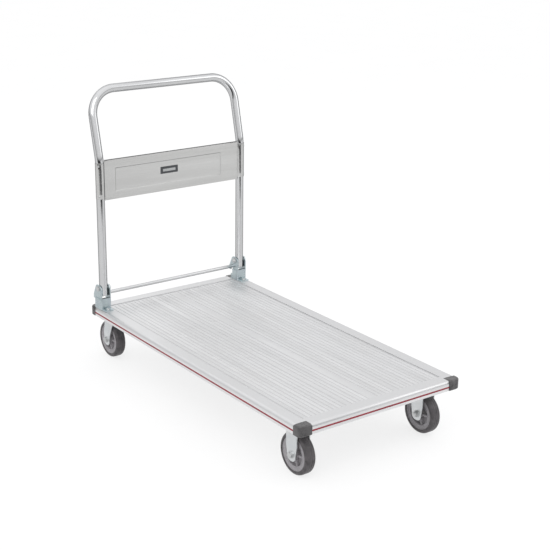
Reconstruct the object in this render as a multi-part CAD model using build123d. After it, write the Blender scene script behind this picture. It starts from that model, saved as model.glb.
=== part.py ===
from build123d import *
from math import cos, sin, radians, sqrt
import os

# Folding platform cart.  Millimetres, +Z up, floor at Z = 0.
# +Y points from the loading end to the handle end, X runs across the deck.
# Left is -X and right is +X, as seen from the loading end, facing the handle.
# Every piece is drawn about the centre of the deck; save() moves it to the part's origin, which
# is on the floor under the middle of the whole cart.

# ---- driving dimensions: deck ----
deck_length = 1200.0
deck_width = 610.0
deck_top = 194.0            # top of the edge rails above the floor
rail_height = 33.0
rail_width = 43.0
rail_wall = 2.2
rail_outer_wall = 6.0       # the thick wall that carries the strip's groove
rail_edge_radius = 9.0
ledge_width = 14.0          # lip inside each rail that the planks rest on
ledge_thickness = 3.0
plank_sink = 1.5            # plank ribs lie this far below the rails
plank_height = 20.0
plank_skin = 2.4
plank_joint = 172.0         # distance of the outer plank joints from the centre line
rib_height = 1.2
rib_width = 3.2
rib_pitch = 15.5
strip_height = 5.0
strip_depth = 3.0
strip_proud = 0.8
strip_drop = 20.0           # strip's centre line below the top of the rail

# ---- driving dimensions: corner caps ----
cap_along_side = 28.0
cap_proud = 2.0
cap_over_top = 1.0
cap_top_fillet = 5.5
cap_low_chamfer = 2.5
cap_radius = 16.0
tongue_length = 14.0

# ---- driving dimensions: castors ----
wheel_radius = 65.0
wheel_width = 36.0
axle_radius = 6.0
tyre_thickness = 13.0
castor_x = 241.0
front_castor_y = -511.5
kingpin_y = 527.0
castor_trail = 42.0
plate_size = (96.0, 72.0)
plate_thickness = 3.5
leg_gap = 43.0              # clear width between a fork's legs
leg_thickness = 3.0
castor_bolt_offsets = (33.0, 22.0)
rim_inner = 38.0
rim_half = 16.0
hub_radius = 15.0
hub_half = 19.0
bearing_radius = 9.0
spoke_count = 5
spoke_width = 5.0
crown_radius = 30.0
crown_top = 151.5
race_bottom = 154.5
ball_radius = 3.0
ball_circle = 22.5
ball_count = 16

# ---- driving dimensions: handle ----
tube_radius = 14.3
tube_wall = 1.5
leg_x = 284.0
leg_y = 545.3
knee_z = 717.6
knee_radius = 120.0
lean_degrees = 13.56
grip_z = 942.9
grip_radius = 88.9
pivot_z = 268.0
tail_radius = 28.5          # the tube's lower end stays inside this radius about the pivot
panel_low, panel_high = 577.9, 715.9
panel_ahead = 6.0           # front face of the flat sheet, ahead of the legs' axes
panel_sheet = 1.2
wrap_low, wrap_high = 586.0, 709.0
tray_left, tray_right = -228.0, 199.0
tray_low, tray_high = 604.4, 685.4
tray_depth = 2.5
label_x, label_z = -14.7, 651.4
label_size = (69.8, 24.9)

# ---- driving dimensions: hinge brackets and release bar ----
bracket_sheet = 3.0
ear_inner = 15.0            # from the tube's axis to the inner face of an ear
skirt_inner = 17.4          # the lower walls stand out further than the ears
bracket_front = 527.7
bracket_rear = 570.0
ledge_top = 234.0
ear_top = 280.0
pivot_bolt_radius = 5.0
bar_radius = 6.0
bar_y = 566.5
bar_z = 240.0
bar_travel = 22.0
running_fit = 0.05

# ---- driving dimensions: fasteners and cross-members ----
castor_bolt_radius = 4.0
bracket_bolt_radius = 4.0
bracket_bolt_ys = (516.0, 545.0)
small_flats = 13.0          # head and nut of the 8 mm bolts
small_head = 5.3
small_nut = 6.5
axle_flats = 18.0           # head and nut of the 12 mm axle bolts
axle_head = 7.0
axle_nut = 10.0
axle_washer = 1.6
axle_washer_radius = 11.5
rivet_radius = 2.0
hole_slack = 0.25
member_width = 80.0

# ---- sizes that follow ----
half_length = deck_length / 2
half_width = deck_width / 2
rail_bottom = deck_top - rail_height
rib_top = deck_top - plank_sink
plank_low = rib_top - plank_height
inner_x = half_width - rail_width
inner_y = half_length - rail_width
side_rail_half = half_length - cap_along_side
plate_low = rail_bottom - plate_thickness
rear_axle_y = kingpin_y + castor_trail
front_reach = half_length + cap_proud
rear_reach = rear_axle_y + wheel_radius
deck_y = -(rear_reach - front_reach) / 2
front_member = (-inner_y, -inner_y + member_width)
middle_member = (-member_width / 2, member_width / 2)
rear_member = (inner_y - member_width, inner_y)
rivet_z = rail_bottom + 5.5
lean = radians(lean_degrees)
grip_y = leg_y + (grip_z - knee_z) * sin(lean) / cos(lean)
tail_cut = pivot_z - sqrt(tail_radius ** 2 - tube_radius ** 2)
tube_bore = tube_radius - tube_wall


def save(name, *shapes):
    """Write one node, its solids moved from the deck's centre to the part's origin."""
    solids = [Pos(0, deck_y, 0) * solid for shape in shapes for solid in shape.solids()]
    export_step(Compound(solids), f"parts/{name}.step")


def block(x, y, z):
    """Box from three (low, high) pairs."""
    return Pos(sum(x) / 2, sum(y) / 2, sum(z) / 2) * Box(x[1] - x[0], y[1] - y[0], z[1] - z[0])


def upright(radius, x, y, z):
    """Cylinder along Z, z being a (low, high) pair."""
    return Pos(x, y, sum(z) / 2) * Cylinder(radius, z[1] - z[0])


def crosswise(radius, x, y, z):
    """Cylinder along X, x being a (low, high) pair."""
    return Pos(sum(x) / 2, y, z) * Rot(0, 90, 0) * Cylinder(radius, x[1] - x[0])


def hex_upright(flats, x, y, z):
    """Hexagonal prism along Z, measured across its flats."""
    return Pos(x, y, z[0]) * extrude(RegularPolygon(flats / sqrt(3), 6), z[1] - z[0])


def hex_crosswise(flats, x, y, z):
    """Hexagonal prism along X, measured across its flats."""
    return Pos(x[0], y, z) * Rot(0, 90, 0) * extrude(RegularPolygon(flats / sqrt(3), 6), x[1] - x[0])


def plate_yz(points, radii, x):
    """Flat plate normal to X: an outline of (y, z) points, each corner rounded by its radius."""
    face = make_face(Polyline(*points, close=True))
    for point, radius in zip(points, radii):
        if radius:
            corner = face.vertices().sort_by_distance((point[0], point[1], 0))[0]
            face = fillet(corner, radius)
    return Pos(x[0], 0, 0) * (Plane.YZ * extrude(face, x[1] - x[0]))


def both_sides(solid):
    """A solid on the right side and its mirror image on the left."""
    return [solid, mirror(solid, Plane.YZ)]


# ---------------------------------------------------------------- deck
def castor_bolt_places():
    """Centres of all the castor bolts, front pair first."""
    across, along = castor_bolt_offsets
    places = []
    for y in (front_castor_y, kingpin_y):
        for side in (-1, 1):
            for dx in (-across, across):
                for dy in (-along, along):
                    places.append((side * castor_x + dx, y + dy))
    return places


def castor_holes():
    """Tool that drills every castor bolt's hole through the deck's underside."""
    span = (plate_low - 1, rail_bottom + 4)
    return [upright(castor_bolt_radius + hole_slack, x, y, span) for x, y in castor_bolt_places()]


def bracket_holes():
    """Tool that drills the bracket bolts' holes."""
    span = (deck_top - 4, deck_top + 4)
    radius = bracket_bolt_radius + hole_slack
    return [upright(radius, side * leg_x, y, span) for side in (-1, 1) for y in bracket_bolt_ys]


def rail(outer, half, ledge_half):
    """Hollow edge rail along Y, its outer face at x = outer, with the planks' ledge inside."""
    inner = outer - rail_width
    outline = Pos((inner + outer) / 2, (rail_bottom + deck_top) / 2) * Rectangle(rail_width, rail_height)
    corners = outline.vertices().sort_by(Axis.X)[-2:].sort_by(Axis.Y)
    outline = fillet(corners[1], rail_edge_radius)
    outline = fillet(outline.vertices().sort_by_distance((outer, rail_bottom, 0))[0], 4)
    hollow_x = (inner + rail_wall, outer - rail_outer_wall)
    hollow_z = (rail_bottom + rail_wall, deck_top - rail_wall)
    hollow = Pos(sum(hollow_x) / 2, sum(hollow_z) / 2) * RectangleRounded(
        hollow_x[1] - hollow_x[0], hollow_z[1] - hollow_z[0], 1.0)
    groove = Pos(outer, deck_top - strip_drop) * Rectangle(2 * strip_depth, strip_height)
    section = outline - hollow - groove
    body = extrude(Plane.XZ * section, half, both=True)
    ledge = block((inner - ledge_width, inner), (-ledge_half, ledge_half),
                  (plank_low - ledge_thickness, plank_low))
    return body + ledge


def strip(outer, half):
    """Plastic strip pressed into a rail's groove, its face slightly rounded."""
    deep = strip_depth + strip_proud
    face = Pos(outer - strip_depth + deep / 2, deck_top - strip_drop) * Rectangle(deep, strip_height)
    face = fillet(face.vertices().sort_by(Axis.X)[-2:], 1.6)
    return extrude(Plane.XZ * face, half, both=True)


def plank(low_x, high_x, rib_xs):
    """Extruded plank: skin with raised ribs, outer webs, and webs between."""
    skin_top = rib_top - rib_height
    section = Pos((low_x + high_x) / 2, skin_top - plank_skin / 2) * Rectangle(high_x - low_x, plank_skin)
    web = 2.2
    gaps = max(1, round((high_x - low_x) / 57))
    for i in range(gaps + 1):
        x = low_x + web / 2 + i * (high_x - low_x - web) / gaps
        section += Pos(x, (plank_low + skin_top - 1) / 2) * Rectangle(web, skin_top - 1 - plank_low)
        foot = min(max(x, low_x + 6), high_x - 6)
        section += Pos(foot, plank_low + 1) * Rectangle(12, 2)
    for x in rib_xs:
        section += Pos(x, skin_top) * Trapezoid(rib_width, rib_height, 65, align=(Align.CENTER, Align.MIN))
    return extrude(Plane.XZ * section, inner_y, both=True)


def wide_rib_xs():
    """Rib places on a centre plank: two bands of five with a plain land between them."""
    first = [17.5 + i * rib_pitch for i in range(5)]
    second = [101.0 + i * rib_pitch for i in range(5)]
    return first + second


def edge_rib_xs():
    """Rib places on an outer plank."""
    return [plank_joint + 8.0 + i * rib_pitch for i in range(6)]


def crossmember(y, flange_ys):
    """Shallow steel channel under the planks, with end tabs riveted to the side rails."""
    sheet = 2.5
    tab_top = plank_low - ledge_thickness
    body = block((-inner_x, inner_x), y, (rail_bottom, rail_bottom + sheet))
    for flange in flange_ys:
        body += block((-inner_x + ledge_width, inner_x - ledge_width), flange,
                      (rail_bottom, plank_low))
    for tab in both_sides(block((inner_x - sheet, inner_x), y, (rail_bottom, tab_top))):
        body += tab
    return body


def rivet_places():
    """(side, y) of each rivet that ties a cross-member to a side rail."""
    places = []
    for low, high in (front_member, middle_member, rear_member):
        for y in (low + 8, (low + high) / 2):
            places += [(-1, y), (1, y)]
    return places


def rivet_holes():
    """Tool that drills the rivets' holes through tabs and rails."""
    holes = []
    for side, y in rivet_places():
        span = sorted((side * (inner_x - 6), side * (inner_x + rail_wall + 1)))
        holes.append(crosswise(rivet_radius, span, y, rivet_z))
    return holes


def rivet(side, y):
    """Blind rivet: domed head on the tab, shank through both sheets, bulb inside the rail."""
    face = inner_x - 2.5
    span = sorted((side * face, side * (inner_x + rail_wall)))
    head = sorted((side * (face - 1.4), side * face))
    bulb = sorted((side * (inner_x + rail_wall), side * (inner_x + rail_wall + 3)))
    return (crosswise(rivet_radius, span, y, rivet_z) + crosswise(2.8, head, y, rivet_z)
            + crosswise(2.2, bulb, y, rivet_z))


def corner_cap():
    """Plastic cap on the rear right corner, with tongues that push into both rails."""
    x = (inner_x, half_width + cap_proud)
    y = (side_rail_half, half_length + cap_proud)
    z = (rail_bottom, deck_top + cap_over_top)
    outline = Pos(sum(x) / 2, sum(y) / 2) * Rectangle(x[1] - x[0], y[1] - y[0])
    outline = fillet(outline.vertices().sort_by_distance((x[1], y[1], 0))[0], cap_radius)
    cap = Pos(0, 0, z[0]) * extrude(outline, z[1] - z[0])
    cap = fillet(cap.edges().group_by(Axis.Z)[-1], cap_top_fillet)
    cap = chamfer(cap.edges().group_by(Axis.Z)[0], cap_low_chamfer)
    tongue_z = (rail_bottom + 4, deck_top - 4)
    cap += block((inner_x + 4, half_width - 8), (side_rail_half - tongue_length, y[0] + 5), tongue_z)
    cap += block((inner_x - tongue_length, x[0] + 5), (side_rail_half + 2.5, half_length - 8), tongue_z)
    return cap


def screw_set(x, y, head_low, shank_low, nut_top):
    """Hexagon bolt pointing down, with its nut, as two solids."""
    radius = castor_bolt_radius
    bolt = upright(radius, x, y, (shank_low, head_low))
    bolt += hex_upright(small_flats, x, y, (head_low, head_low + small_head))
    nut = hex_upright(small_flats, x, y, (nut_top - small_nut, nut_top))
    nut -= upright(radius, x, y, (nut_top - small_nut - 1, nut_top + 1))
    return [bolt, nut]


# ---------------------------------------------------------------- castors
def castor_plate(x, y):
    """Drilled top plate of a castor."""
    plate = Pos(x, y, plate_low) * extrude(RectangleRounded(*plate_size, 10), plate_thickness)
    for hole in castor_holes():
        plate -= hole
    return plate


def axle_hole(x, y):
    """Tool for the axle's hole through both legs of a fork."""
    return crosswise(axle_radius, (x - 30, x + 30), y, wheel_radius)


def rigid_fork(x, y):
    """Rigid castor body: plate with two tapering legs that end in a rounded tip."""
    points = ((y - 25, plate_low), (y - 25, 95), (y - 17.5, 45), (y + 17.5, 45), (y + 25, 95),
              (y + 25, plate_low))
    radii = (0, 20, 16, 16, 20, 0)
    body = castor_plate(x, y)
    for side in (-1, 1):
        span = sorted((x + side * leg_gap / 2, x + side * (leg_gap / 2 + leg_thickness)))
        body += plate_yz(points, radii, span)
        rib = sorted((x + side * leg_gap / 2, x + side * (leg_gap / 2 + leg_thickness + 1.5)))
        body += block(rib, (y - 12, y + 12), (plate_low - 4, plate_low))
    return body - axle_hole(x, y)


def race_groove(x, y, z):
    """Ring-shaped tool for the swivel balls' track."""
    return Pos(x, y, z) * Torus(ball_circle, ball_radius + running_fit)


def swivel_plate(x):
    """Top plate of a swivel castor, with its upper ball track."""
    body = castor_plate(x, kingpin_y) + upright(crown_radius, x, kingpin_y, (race_bottom, plate_low))
    body -= race_groove(x, kingpin_y, (crown_top + race_bottom) / 2)
    return body - upright(axle_radius, x, kingpin_y, (race_bottom - 1, rail_bottom + 1))


def swivel_fork(x):
    """Swivel fork: crown with the lower ball track, and two legs that trail to the axle."""
    low = crown_top - 5.5
    y, axle = kingpin_y, rear_axle_y
    points = ((y - 4, crown_top - 2), (y - 4, 138), (axle - 23, 84), (axle - 16, 45), (axle + 16, 45),
              (axle + 17, 90), (axle + 8, 138), (axle + 8, crown_top - 2))
    radii = (0, 25, 25, 15, 15, 30, 20, 0)
    width = leg_gap / 2 + leg_thickness
    body = upright(crown_radius, x, y, (low, crown_top))
    body += block((x - width, x + width), (y - 4, axle + 8), (low, crown_top - 2))
    for side in (-1, 1):
        body += plate_yz(points, radii, sorted((x + side * leg_gap / 2, x + side * width)))
    body -= race_groove(x, y, (crown_top + race_bottom) / 2)
    body -= upright(axle_radius + running_fit, x, y, (low - 1, crown_top + 1))
    return body - axle_hole(x, axle)


def kingpin(x):
    """Kingpin riveted into the plate; its lower head holds the fork's crown."""
    low = crown_top - 5.5 - 0.3
    pin = upright(axle_radius, x, kingpin_y, (low, rail_bottom))
    return pin + upright(11, x, kingpin_y, (low - 3.5, low))


def swivel_balls(x):
    """Ring of separate steel balls."""
    z = (crown_top + race_bottom) / 2
    balls = []
    for i in range(ball_count):
        turn = radians(360 * i / ball_count)
        balls.append(Pos(x + ball_circle * cos(turn), kingpin_y + ball_circle * sin(turn), z)
                     * Sphere(ball_radius))
    return balls


def axle(x, y, outward):
    """Axle bolt through the fork, with washers and a lock nut; the head is on the outer side."""
    z = wheel_radius
    face = leg_gap / 2 + leg_thickness
    seat = face + axle_washer

    def span(near, far):
        return sorted((x + outward * near, x + outward * far))

    bolt = crosswise(axle_radius, span(-seat - axle_nut - 0.4, seat), y, z)
    bolt += hex_crosswise(axle_flats, span(seat, seat + axle_head), y, z)
    nut = hex_crosswise(axle_flats, span(-seat - axle_nut, -seat), y, z)
    nut -= crosswise(axle_radius, span(-seat - axle_nut - 1, -face), y, z)
    washers = []
    for near in (face, -seat):
        ring = crosswise(axle_washer_radius, span(near, near + axle_washer), y, z)
        washers.append(ring - crosswise(axle_radius, span(near - 1, near + 3), y, z))
    return [bolt, nut] + washers


def wheel_core(x, y):
    """Moulded wheel centre: rim ring, thin web, five spokes on each face, and the hub."""
    rim_outer = wheel_radius - tyre_thickness
    rim = crosswise(rim_outer, (-rim_half, rim_half), 0, 0)
    rim -= crosswise(rim_inner, (-rim_half - 1, rim_half + 1), 0, 0)
    rim = chamfer(rim.edges().filter_by(GeomType.CIRCLE).sort_by(SortBy.RADIUS)[:2], 3)
    core = rim + crosswise(rim_inner + 1, (-3, 3), 0, 0) + crosswise(hub_radius, (-hub_half, hub_half), 0, 0)
    spoke = block((-11, 11), (-spoke_width / 2, spoke_width / 2), (10, rim_inner + 1))
    for i in range(spoke_count):
        core += Rot(360 * i / spoke_count + 18, 0, 0) * spoke
    core -= crosswise(bearing_radius, (-hub_half - 1, hub_half + 1), 0, 0)
    return Pos(x, y, wheel_radius) * core


def tyre(x, y):
    """Rubber tyre with rounded shoulders."""
    ring = crosswise(wheel_radius, (-wheel_width / 2, wheel_width / 2), 0, 0)
    ring = fillet(ring.edges().filter_by(GeomType.CIRCLE), 9)
    ring -= crosswise(wheel_radius - tyre_thickness, (-wheel_width, wheel_width), 0, 0)
    return Pos(x, y, wheel_radius) * ring


def wheel_bearing(x, y):
    """Bearing sleeve between the hub and the axle."""
    half = leg_gap / 2 - 0.8
    sleeve = crosswise(bearing_radius, (x - half, x + half), y, wheel_radius)
    return sleeve - crosswise(axle_radius + running_fit, (x - half - 1, x + half + 1), y, wheel_radius)


# ---------------------------------------------------------------- handle
def handle_path():
    """Centre line of the bent tube, from one foot over the grip to the other."""
    points = ((-leg_x, leg_y, tail_cut), (-leg_x, leg_y, knee_z), (-leg_x, grip_y, grip_z),
              (leg_x, grip_y, grip_z), (leg_x, leg_y, knee_z), (leg_x, leg_y, tail_cut))
    return FilletPolyline(*points, radius=[knee_radius, grip_radius, grip_radius, knee_radius])


def handle_tube():
    """One bent steel tube, cross-drilled at both feet for the pivot bushes."""
    path = handle_path()
    section = Plane(origin=(-leg_x, leg_y, tail_cut), z_dir=(0, 0, 1))
    ring = section * (Circle(tube_radius) - Circle(tube_bore))
    tube = sweep(ring, path=path)
    for side in (-1, 1):
        tube -= crosswise(7, (side * leg_x - 20, side * leg_x + 20), leg_y, pivot_z)
    for hole in panel_rivet_holes():
        tube -= hole
    return tube


def end_plug():
    """Plug in the foot of the right leg; its end is rounded about the pivot."""
    stem = upright(tube_bore, leg_x, leg_y, (tail_cut, tail_cut + 14))
    nose = upright(tube_radius, leg_x, leg_y, (pivot_z - tail_radius - 2, tail_cut))
    round_end = crosswise(tail_radius, (leg_x - 20, leg_x + 20), leg_y, pivot_z)
    return stem + (nose & round_end)


def pivot_bush():
    """Steel bush across the right leg, turning on the pivot bolt."""
    half = ear_inner - 0.3
    bush = crosswise(7, (leg_x - half, leg_x + half), leg_y, pivot_z)
    return bush - crosswise(pivot_bolt_radius + running_fit, (leg_x - 20, leg_x + 20), leg_y, pivot_z)


def handle_panel():
    """Sheet-steel panel between the legs, its ends wrapped round the front of both tubes."""
    front = leg_y - panel_ahead
    back = front + panel_sheet
    inner, outer = tube_radius + 0.1, tube_radius + 0.1 + panel_sheet
    edge = leg_x - sqrt(inner ** 2 - (leg_y - back) ** 2) - 0.1
    sheet = block((-edge, edge), (front, back), (panel_low, panel_high))
    curl = Pos(leg_x, leg_y, (wrap_low + wrap_high) / 2) * (
        Cylinder(outer, wrap_high - wrap_low) - Cylinder(inner, wrap_high))
    kept = block((leg_x - 20, leg_x + 20), (leg_y - 20, back), (wrap_low, wrap_high))
    kept += block((leg_x, leg_x + 20), (back - 1, leg_y + 4), (wrap_low, wrap_high))
    for piece in both_sides(curl & kept):
        sheet += piece
    for z in ((panel_high - panel_sheet, panel_high), (panel_low, panel_low + panel_sheet)):
        sheet += block((-leg_x + 18, leg_x - 18), (front, back + 7), z)
    origin = ((tray_left + tray_right) / 2, front, (tray_low + tray_high) / 2)
    centre = Plane(origin=origin, x_dir=(1, 0, 0), z_dir=(0, 1, 0))
    width, height = tray_right - tray_left, tray_high - tray_low
    shell = extrude(centre * Rectangle(width + 2, height + 2), tray_depth + panel_sheet, taper=35)
    hollow = extrude(centre * Rectangle(width, height), tray_depth, taper=35)
    sheet = sheet + shell - hollow
    for hole in panel_rivet_holes():
        sheet -= hole
    return sheet


def panel_rivet_places():
    """Placement of each rivet: at the tube's axis, turned so that its own Z points outwards."""
    return [Pos(side * leg_x, leg_y, z) * Rot(0, 0, -90 + side * 42) * Rot(0, 90, 0)
            for side in (-1, 1) for z in (wrap_low + 8, wrap_high - 10)]


def panel_rivet_holes():
    """Tool that drills the curled sheet and the tube for the panel's rivets."""
    return [place * Pos(0, 0, tube_radius) * Cylinder(1.95, 8) for place in panel_rivet_places()]


def panel_rivets():
    """Two rivets through each curled end, set into the tube's wall."""
    reach = tube_radius + 0.1 + panel_sheet
    rivets = []
    for place in panel_rivet_places():
        head = Pos(0, 0, reach + 0.75) * Cylinder(3.6, 1.2)
        shank = Pos(0, 0, reach - 2.0) * Cylinder(1.9, 5)
        rivets.append(place * (head + shank))
    return rivets


def label_plate():
    """Plain rectangular plate on the panel."""
    face = leg_y - panel_ahead + tray_depth
    plane = Plane(origin=(label_x, face, label_z), x_dir=(1, 0, 0), z_dir=(0, -1, 0))
    return extrude(plane * RectangleRounded(*label_size, 1.5), 0.6)


# ---------------------------------------------------------------- hinge brackets
def bracket():
    """Pressed bracket at the foot of the right leg: two ears, a front wall, and a drilled foot."""
    ear = ((bracket_front, deck_top), (bracket_front, ear_top), (563, ear_top), (583, 240),
           (583, 208), (bracket_rear, deck_top))
    rounding = (0, 20, 14, 10, 6, 0)
    skirt = Pos(leg_x, (bracket_front + bracket_rear) / 2) * Rectangle(
        2 * (skirt_inner + bracket_sheet), bracket_rear - bracket_front)
    skirt = fillet(skirt.vertices().sort_by(Axis.Y)[:2], 6)
    inside = Pos(leg_x, (bracket_front + bracket_sheet + bracket_rear + 10) / 2) * Rectangle(
        2 * skirt_inner, bracket_rear + 10 - bracket_front - bracket_sheet)
    inside = fillet(inside.vertices().sort_by(Axis.Y)[:2], 3)
    body = Pos(0, 0, deck_top) * extrude(skirt - inside, ledge_top - deck_top - 2)
    for side in (-1, 1):
        span = sorted((leg_x + side * ear_inner, leg_x + side * (ear_inner + bracket_sheet)))
        ear_plate = plate_yz(ear, rounding, span)
        low = block((leg_x - 30, leg_x + 30), (500, 600), (deck_top, ledge_top - 8))
        body += ear_plate - low
    lip_x = (leg_x - skirt_inner, leg_x + skirt_inner)
    body += block(lip_x, (bracket_front + 0.6, bracket_front + 9), (ledge_top - bracket_sheet, ledge_top))
    foot = Pos(leg_x, (505 + bracket_rear) / 2, deck_top) * extrude(
        RectangleRounded(2 * skirt_inner, bracket_rear - 505, 5), bracket_sheet)
    body += foot
    for hole in bracket_holes():
        body -= hole
    body -= crosswise(pivot_bolt_radius, (leg_x - 30, leg_x + 30), leg_y, pivot_z)
    half_slot = bar_radius + 0.3
    low, high = bar_z - bar_travel - half_slot, bar_z + half_slot
    near, far = bar_y - half_slot, bar_y + half_slot
    slot = ((near, low), (far, low), (far, high), (near, high))
    rounding = (half_slot - 0.01,) * 4
    return body - plate_yz(slot, rounding, (leg_x - 22, leg_x - 14))


def bracket_fasteners():
    """Bolts through the brackets' feet, with nuts inside the side rails."""
    solids = []
    for side in (-1, 1):
        for y in bracket_bolt_ys:
            solids += screw_set(side * leg_x, y, deck_top + bracket_sheet, deck_top - 12,
                                deck_top - rail_wall)
    return solids


def pivot_bolt():
    """Pivot bolt through the right bracket: head outside, lock nut inside."""
    face = ear_inner + bracket_sheet
    bolt = crosswise(pivot_bolt_radius, (leg_x - face - 9, leg_x + face), leg_y, pivot_z)
    bolt += hex_crosswise(17, (leg_x + face, leg_x + face + 6.4), leg_y, pivot_z)
    nut = hex_crosswise(17, (leg_x - face - 8, leg_x - face), leg_y, pivot_z)
    nut -= crosswise(pivot_bolt_radius, (leg_x - face - 9, leg_x - face + 1), leg_y, pivot_z)
    return bolt, nut


def release_bar():
    """Foot bar across the rear, guided in the inner ears' slots."""
    reach = leg_x + ear_inner - 0.7
    bar = crosswise(bar_radius, (-reach, reach), bar_y, bar_z)
    return chamfer(bar.edges().filter_by(GeomType.CIRCLE), 0.8)


def return_spring():
    """Compression spring that stands on the right bracket's foot and lifts the bar."""
    low = deck_top + bracket_sheet + 0.8
    height = bar_z - bar_radius - 0.8 - low
    coil = Helix(pitch=height / 6, height=height, radius=4.2)
    start = Plane(origin=coil @ 0, z_dir=coil % 0)
    return Pos(leg_x, bar_y - 1.2, low) * sweep(start * Circle(0.7), path=coil, is_frenet=True)


# ---------------------------------------------------------------- making every node
def make_deck():
    """Planks, rails, strips, caps, cross-members and their fasteners."""
    wide = wide_rib_xs()
    edge = edge_rib_xs()
    save("plank_left_edge", plank(-inner_x, -plank_joint, [-x for x in edge]))
    save("plank_left", plank(-plank_joint, 0, [-x for x in wide]))
    save("plank_right", plank(0, plank_joint, wide))
    save("plank_right_edge", plank(plank_joint, inner_x, edge))

    side = rail(half_width, side_rail_half, inner_y)
    end = Rot(0, 0, 90) * rail(half_length, inner_x, inner_x - ledge_width)
    rails = {"rail_right": side, "rail_left": mirror(side, Plane.YZ),
             "rail_rear": end, "rail_front": mirror(end, Plane.XZ)}
    tools = castor_holes() + bracket_holes() + rivet_holes()
    for name, body in rails.items():
        for tool in tools:
            body -= tool
        save(name, body)

    side_strip = strip(half_width, side_rail_half)
    end_strip = Rot(0, 0, 90) * strip(half_length, inner_x)
    save("strip_right", side_strip)
    save("strip_left", mirror(side_strip, Plane.YZ))
    save("strip_rear", end_strip)
    save("strip_front", mirror(end_strip, Plane.XZ))

    rear_right = corner_cap()
    rear_left = mirror(rear_right, Plane.YZ)
    save("corner_cap_rear_right", rear_right)
    save("corner_cap_rear_left", rear_left)
    save("corner_cap_front_right", mirror(rear_right, Plane.XZ))
    save("corner_cap_front_left", mirror(rear_left, Plane.XZ))

    sheet = 2.5
    members = {
        "crossmember_front": (front_member, [(front_member[1] - sheet, front_member[1])]),
        "crossmember_middle": (middle_member, [(middle_member[0], middle_member[0] + sheet),
                                               (middle_member[1] - sheet, middle_member[1])]),
        "crossmember_rear": (rear_member, [(rear_member[0], rear_member[0] + sheet)]),
    }
    for name, (y, flanges) in members.items():
        body = crossmember(y, flanges)
        for tool in tools:
            body -= tool
        save(name, body)
    save("crossmember_rivets", *[rivet(side, y) for side, y in rivet_places()])

    fasteners = []
    for x, y in castor_bolt_places():
        seat = rail_bottom + (rail_wall if abs(x) > inner_x else sheet)
        fasteners += screw_set(x, y, seat, plate_low - 8, plate_low)
    save("castor_bolts", *fasteners)


def make_castors():
    """Two rigid castors in front and two swivel castors under the handle."""
    for side, name in ((-1, "left"), (1, "right")):
        x = side * castor_x
        save(f"front_{name}_fork", rigid_fork(x, front_castor_y))
        save(f"rear_{name}_top_plate", swivel_plate(x))
        save(f"rear_{name}_kingpin", kingpin(x))
        save(f"rear_{name}_swivel_balls", *swivel_balls(x))
        save(f"rear_{name}_fork", swivel_fork(x))
        for end, y in (("front", front_castor_y), ("rear", rear_axle_y)):
            save(f"{end}_{name}_axle", *axle(x, y, side))
            save(f"{end}_{name}_wheel_core", wheel_core(x, y))
            save(f"{end}_{name}_tyre", tyre(x, y))
            save(f"{end}_{name}_wheel_bearing", wheel_bearing(x, y))


def make_handle():
    """Handle, its panel, the hinge brackets and the release bar."""
    save("handle_tube", handle_tube())
    save("handle_end_plugs", *both_sides(end_plug()))
    save("handle_pivot_bushes", *both_sides(pivot_bush()))
    save("handle_panel", handle_panel())
    save("panel_rivets", *panel_rivets())
    save("label_plate", label_plate())
    right = bracket()
    save("bracket_right", right)
    save("bracket_left", mirror(right, Plane.YZ))
    save("bracket_bolts", *bracket_fasteners())
    bolt, nut = pivot_bolt()
    save("pivot_bolts", *both_sides(bolt), *both_sides(nut))
    save("release_bar", release_bar())
    save("return_springs", *both_sides(return_spring()))


os.makedirs("parts", exist_ok=True)
make_deck()
make_castors()
make_handle()
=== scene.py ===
import logging
from dataclasses import dataclass
from enum import Enum
from math import cos, pi, radians, sin, tan
from typing import Callable, Iterable, Sequence

import bmesh
import bpy
from bmesh.types import BMEdge, BMesh, BMFace, BMVert
from bpy.types import Material, Node, NodeSocket, NodeTree, Object
from mathutils import Matrix, Vector


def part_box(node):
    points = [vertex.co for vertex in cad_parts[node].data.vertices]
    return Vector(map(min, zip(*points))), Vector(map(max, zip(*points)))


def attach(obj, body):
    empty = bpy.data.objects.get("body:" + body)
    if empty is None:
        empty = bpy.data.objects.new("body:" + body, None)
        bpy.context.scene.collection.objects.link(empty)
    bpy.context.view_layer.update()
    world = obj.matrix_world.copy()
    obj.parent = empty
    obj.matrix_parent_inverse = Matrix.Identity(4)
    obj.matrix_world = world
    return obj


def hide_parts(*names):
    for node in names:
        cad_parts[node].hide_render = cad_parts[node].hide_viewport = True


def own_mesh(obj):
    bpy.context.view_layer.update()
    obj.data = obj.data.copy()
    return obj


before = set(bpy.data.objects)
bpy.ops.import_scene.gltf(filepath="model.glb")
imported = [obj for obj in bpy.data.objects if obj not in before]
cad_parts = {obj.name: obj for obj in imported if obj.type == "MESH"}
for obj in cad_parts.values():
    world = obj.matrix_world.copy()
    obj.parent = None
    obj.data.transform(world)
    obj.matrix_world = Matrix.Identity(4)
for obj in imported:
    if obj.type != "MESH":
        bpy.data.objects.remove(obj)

LOG = logging.getLogger("cart")
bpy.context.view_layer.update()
MM = 0.001
NEAR = 1e-6


class Side(Enum):
    """Left and right as seen from the loading end, facing the handle."""

    LEFT = -1
    RIGHT = 1

    @property
    def word(self) -> str:
        """The side's name inside node and body names."""
        return self.name.lower()


class Axis(Enum):
    """The three directions of the cart's frame."""

    X = (1.0, 0.0, 0.0)
    Y = (0.0, 1.0, 0.0)
    Z = (0.0, 0.0, 1.0)

    @property
    def vector(self) -> Vector:
        """The direction as a vector."""
        return Vector(self.value)


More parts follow.
